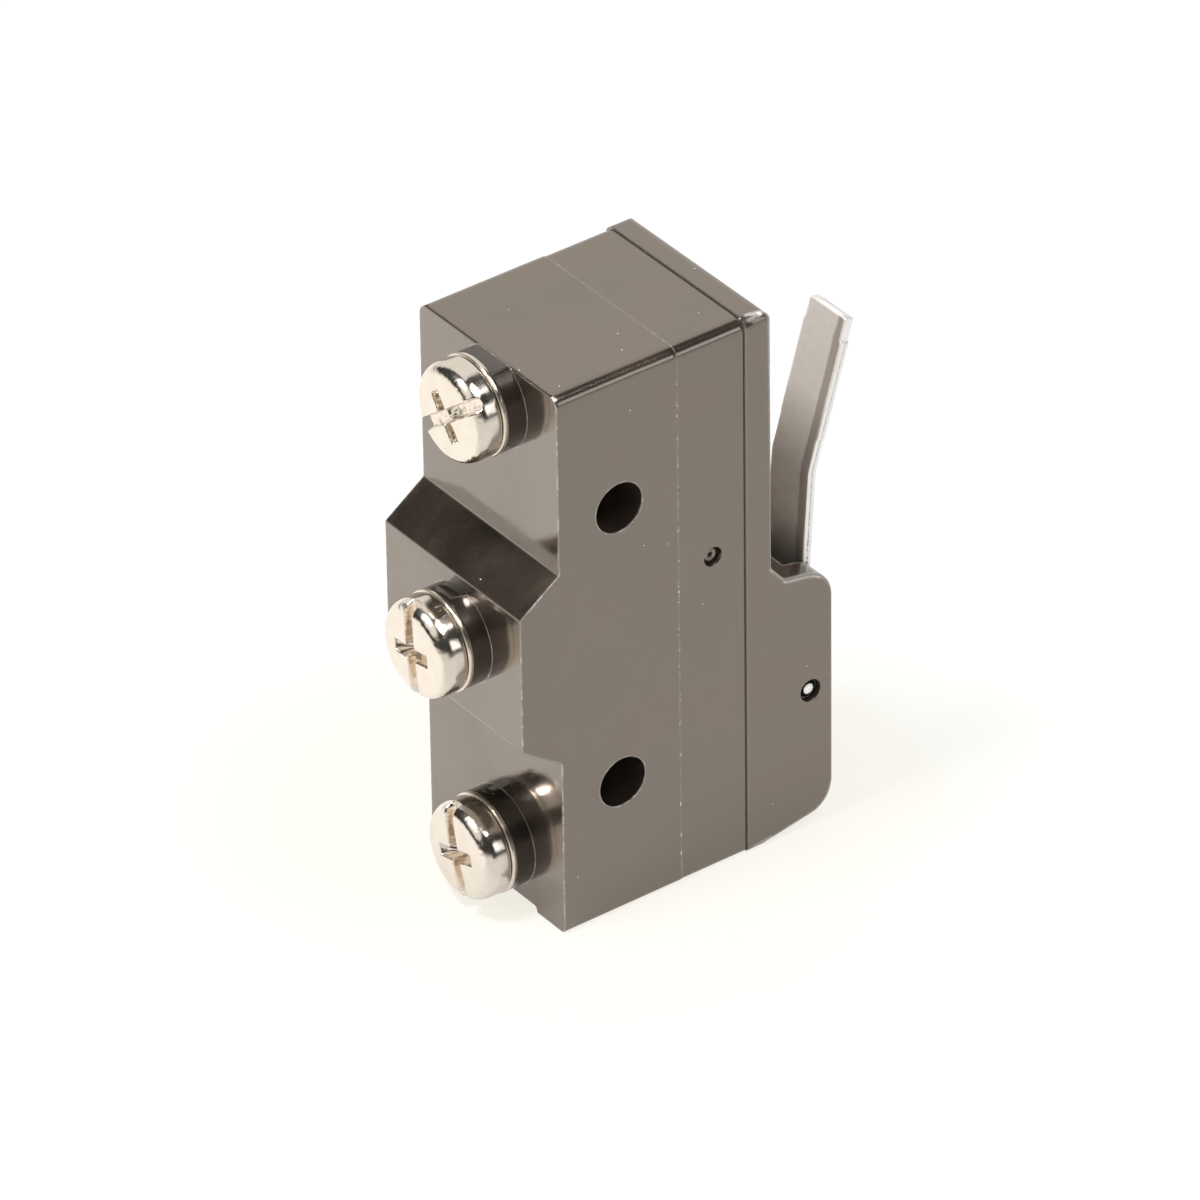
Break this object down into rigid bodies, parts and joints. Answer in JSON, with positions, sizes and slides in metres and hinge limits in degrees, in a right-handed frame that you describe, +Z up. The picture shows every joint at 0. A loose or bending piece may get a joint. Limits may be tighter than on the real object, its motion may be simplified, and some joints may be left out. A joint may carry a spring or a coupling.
{
  "type": "lever micro switch",
  "caption": "Large snap-action micro switch with screw terminals on one face and a hinged strip lever that presses a sealed plunger.",
  "frame": {"origin": "centre of the lower mounting hole, at mid thickness of the body", "axes": "+Z up along the body towards the upper mounting hole; +X from the terminal face towards the lever; +Y through the thickness, along both mounting holes"},
  "size_m": [0.0384, 0.0176, 0.0499],
  "materials": {
    "case_moulding": "black thermoset moulding, glossy",
    "cover_moulding": "black thermoset moulding, glossy",
    "plunger_moulding": "brown-black moulding, satin",
    "lock_pin_steel": "dull steel",
    "hinge_pin_steel": "drawn steel, bright ends",
    "lever_steel": "rolled stainless steel, satin",
    "blade_copper": "copper alloy spring strip",
    "contact_silver": "silver, satin",
    "terminal_brass": "pressed brass",
    "insert_brass": "turned brass",
    "washer_steel": "nickel plated steel",
    "screw_steel": "nickel plated steel, warm"
  },
  "bodies": {
    "switch_body": {"case": "case_moulding", "cover": "cover_moulding", "cover_lock_pin_near": "lock_pin_steel", "cover_lock_pin_far": "lock_pin_steel", "hinge_pin": "hinge_pin_steel", "normally_open_contact": "contact_silver", "normally_closed_contact": "contact_silver", "common_terminal": "terminal_brass", "normally_open_terminal": "terminal_brass", "normally_closed_terminal": "terminal_brass", "threaded_insert_common": "insert_brass", "cup_washer_common": "washer_steel", "terminal_screw_common": "screw_steel", "threaded_insert_normally_open": "insert_brass", "cup_washer_normally_open": "washer_steel", "terminal_screw_normally_open": "screw_steel", "threaded_insert_normally_closed": "insert_brass", "cup_washer_normally_closed": "washer_steel", "terminal_screw_normally_closed": "screw_steel"},
    "lever_arm": {"lever": "lever_steel"},
    "plunger_rod": {"plunger": "plunger_moulding"},
    "blade_arm": {"snap_blade": "blade_copper", "moving_contact": "contact_silver"}
  },
  "joints": [
    {"name": "lever_hinge", "type": "hinge", "parent": "switch_body", "child": "lever_arm", "pos_m": [0.0182, 0, 0.00085], "axis": [0, -1, 0], "range_deg": [0, 9], "stiffness_Nm_per_rad": 0.05, "springref_deg": -11.46},
    {"name": "plunger_slide", "type": "slide", "parent": "switch_body", "child": "plunger_rod", "axis": [-1, 0, 0], "range_m": [0, 0.00067]},
    {"name": "blade_hinge", "type": "hinge", "parent": "switch_body", "child": "blade_arm", "pos_m": [0.0074, 0, -0.0065], "axis": [0, -1, 0], "range_deg": [0, 2.23]}
  ],
  "couplings": [
    {"joint": "plunger_slide", "follows": "lever_hinge", "m_per_rad": 0.0042225},
    {"joint": "blade_hinge", "follows": "lever_hinge", "ratio": 0.2461}
  ]
}
